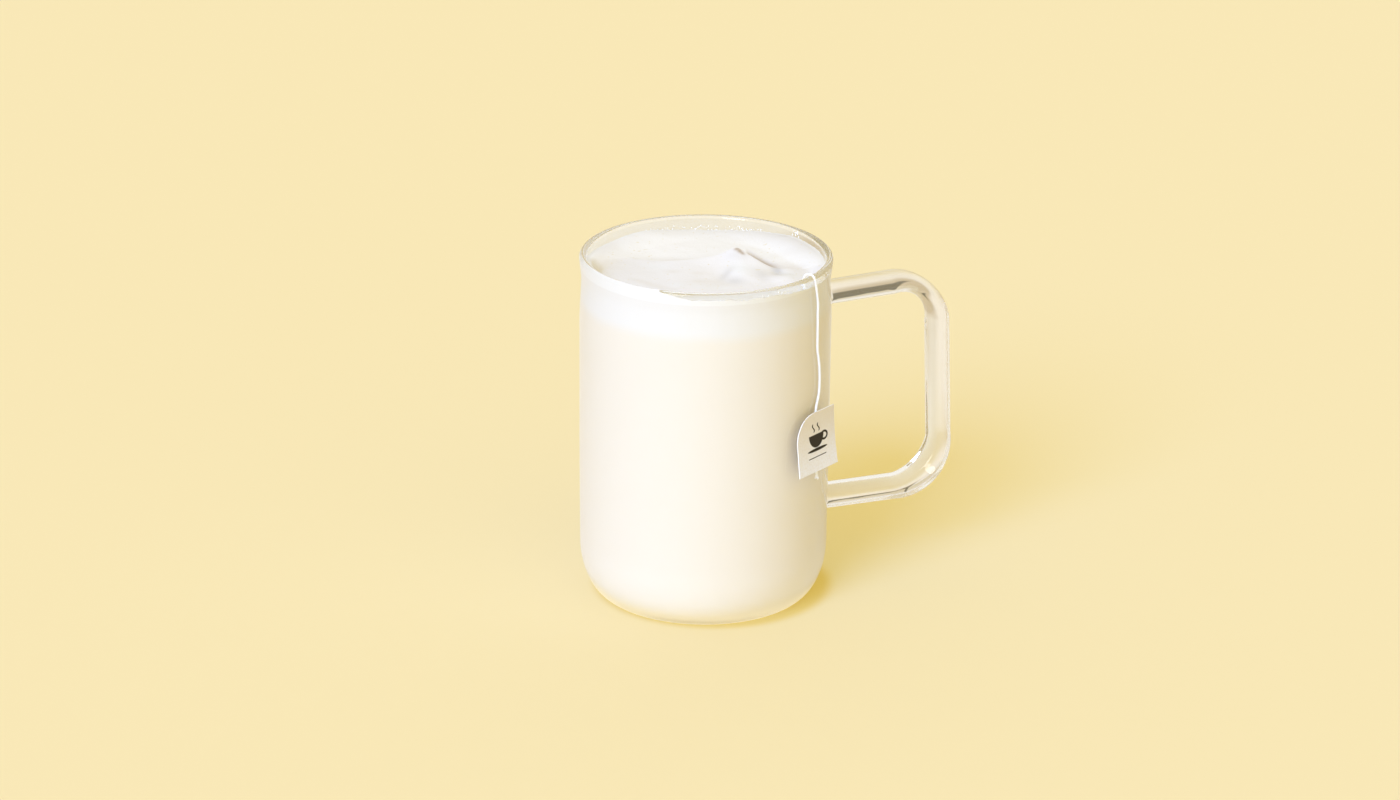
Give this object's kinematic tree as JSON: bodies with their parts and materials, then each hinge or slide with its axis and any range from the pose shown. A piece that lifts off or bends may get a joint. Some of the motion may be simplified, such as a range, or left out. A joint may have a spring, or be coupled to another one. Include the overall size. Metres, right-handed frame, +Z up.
{
  "type": "tea latte",
  "caption": "Tea latte in a straight clear glass mug with a bent rod handle: milky tea under thick milk foam, and a tea bag's string over the rim with its paper tag.",
  "frame": {"origin": "centre of the mug's flat underside, on the surface it stands on", "axes": "+Z up along the mug's axis, +X towards the handle"},
  "size_m": [0.1345, 0.0855, 0.1221],
  "materials": {
    "clear_glass": "smooth clear glass with a faint green tint where it is thick",
    "milky_tea": "opaque creamy liquid",
    "milk_foam": "soft satin foam with fine bubbles",
    "cotton_string": "twisted cotton thread",
    "tag_card": "matt uncoated card with dark print"
  },
  "bodies": {
    "root": {"glass_mug": "clear_glass", "milk_tea": "milky_tea", "milk_foam": "milk_foam", "tea_string": "cotton_string", "paper_tag": "tag_card"}
  },
  "joints": []
}
